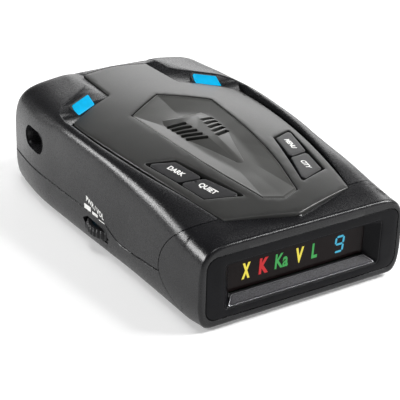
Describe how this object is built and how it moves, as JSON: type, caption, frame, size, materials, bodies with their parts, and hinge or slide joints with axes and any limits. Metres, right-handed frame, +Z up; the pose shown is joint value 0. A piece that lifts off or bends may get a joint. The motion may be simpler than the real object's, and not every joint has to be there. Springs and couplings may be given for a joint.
{
  "type": "radar detector",
  "caption": "Dashboard radar and laser detector with a lit band display, sunken speaker grille, press keys, side volume wheel and bracket slot.",
  "frame": {"origin": "middle of the base, in the plane that the case rests on", "axes": "+X to the user's right when facing the display, +Y from the display towards the road, +Z up"},
  "size_m": [0.0725, 0.1162, 0.0338],
  "materials": {
    "case_black": "fine satin texture",
    "panel_black": "satin",
    "grille_grey": "satin",
    "bezel_black": "satin rim, matt inside",
    "ledge_black": "speckled, polished edges",
    "smoked_lens": "smoked and polished",
    "display_dark": "matt",
    "ribbon_white": "matt",
    "alert_blue": "clear, lit blue",
    "led_white": "clear",
    "key_black": "satin",
    "mat_rubber": "matt",
    "board_green": "solder mask",
    "wheel_black": "knurled",
    "plated_steel": "bright plated",
    "contact_gold": "plated",
    "part_black": "matt",
    "sleeve_blue": "shrink sleeve",
    "ferrite": "sintered",
    "cone_paper": "pressed paper",
    "foam_black": "closed cell foam",
    "cast_metal": "die cast",
    "shield_tin": "tinned sheet",
    "ceramic": "matt",
    "window_red": "dark red filter",
    "clear_optic": "polished",
    "natural_nylon": "matt",
    "blackened_steel": "black oxide"
  },
  "bodies": {
    "case": {"lower_housing": "case_black", "upper_housing": "case_black", "front_collar": "case_black", "top_panel": "panel_black", "speaker_grille": "grille_grey", "display_bezel": "bezel_black", "display_ledge": "ledge_black", "display_lens": "smoked_lens", "display_module": "display_dark", "display_board": "board_green", "display_ribbon": "ribbon_white", "alert_lens_left": "alert_blue", "alert_lens_right": "alert_blue", "alert_leds": "led_white", "key_mat_left": "mat_rubber", "key_mat_right": "mat_rubber", "key_board_left": "board_green", "key_board_right": "board_green", "volume_pot": "part_black", "socket_shell": "plated_steel", "socket_tongue": "part_black", "socket_contacts": "contact_gold", "socket_board": "board_green", "main_board": "board_green", "board_screws": "plated_steel", "processor_chip": "part_black", "capacitors": "sleeve_blue", "speaker_frame": "plated_steel", "speaker_cone": "cone_paper", "speaker_magnet": "ferrite", "speaker_gasket": "foam_black", "horn_antenna": "cast_metal", "mixer_can": "shield_tin", "mixer_board": "ceramic", "laser_window": "window_red", "laser_lens": "clear_optic", "laser_sensor": "part_black", "latch_spring": "plated_steel", "case_screws": "blackened_steel"},
    "dim_key": {"dim_key": "key_black"},
    "mute_key": {"mute_key": "key_black"},
    "menu_key": {"menu_key": "key_black"},
    "city_key": {"city_key": "key_black"},
    "volume": {"volume_wheel": "wheel_black", "volume_shaft": "plated_steel"},
    "release": {"release_button": "case_black", "latch_bar": "natural_nylon"}
  },
  "joints": [
    {"name": "dim_key_press", "type": "slide", "parent": "case", "child": "dim_key", "axis": [0.0949, 0.1196, -0.9883], "range_m": [0, 0.0005], "stiffness_N_per_m": 600},
    {"name": "mute_key_press", "type": "slide", "parent": "case", "child": "mute_key", "axis": [0.0949, 0.1196, -0.9883], "range_m": [0, 0.0005], "stiffness_N_per_m": 600},
    {"name": "menu_key_press", "type": "slide", "parent": "case", "child": "menu_key", "axis": [-0.0949, 0.1196, -0.9883], "range_m": [0, 0.0005], "stiffness_N_per_m": 600},
    {"name": "city_key_press", "type": "slide", "parent": "case", "child": "city_key", "axis": [-0.0949, 0.1196, -0.9883], "range_m": [0, 0.0005], "stiffness_N_per_m": 600},
    {"name": "volume_turn", "type": "hinge", "parent": "case", "child": "volume", "pos_m": [-0.02745, -0.003, 0.0064], "axis": [0, 0, 1], "range_deg": [-135, 135]},
    {"name": "release_slide", "type": "slide", "parent": "case", "child": "release", "axis": [-1, 0, 0], "range_m": [0, 0.0025], "stiffness_N_per_m": 400, "deforming": ["latch_spring"]}
  ]
}
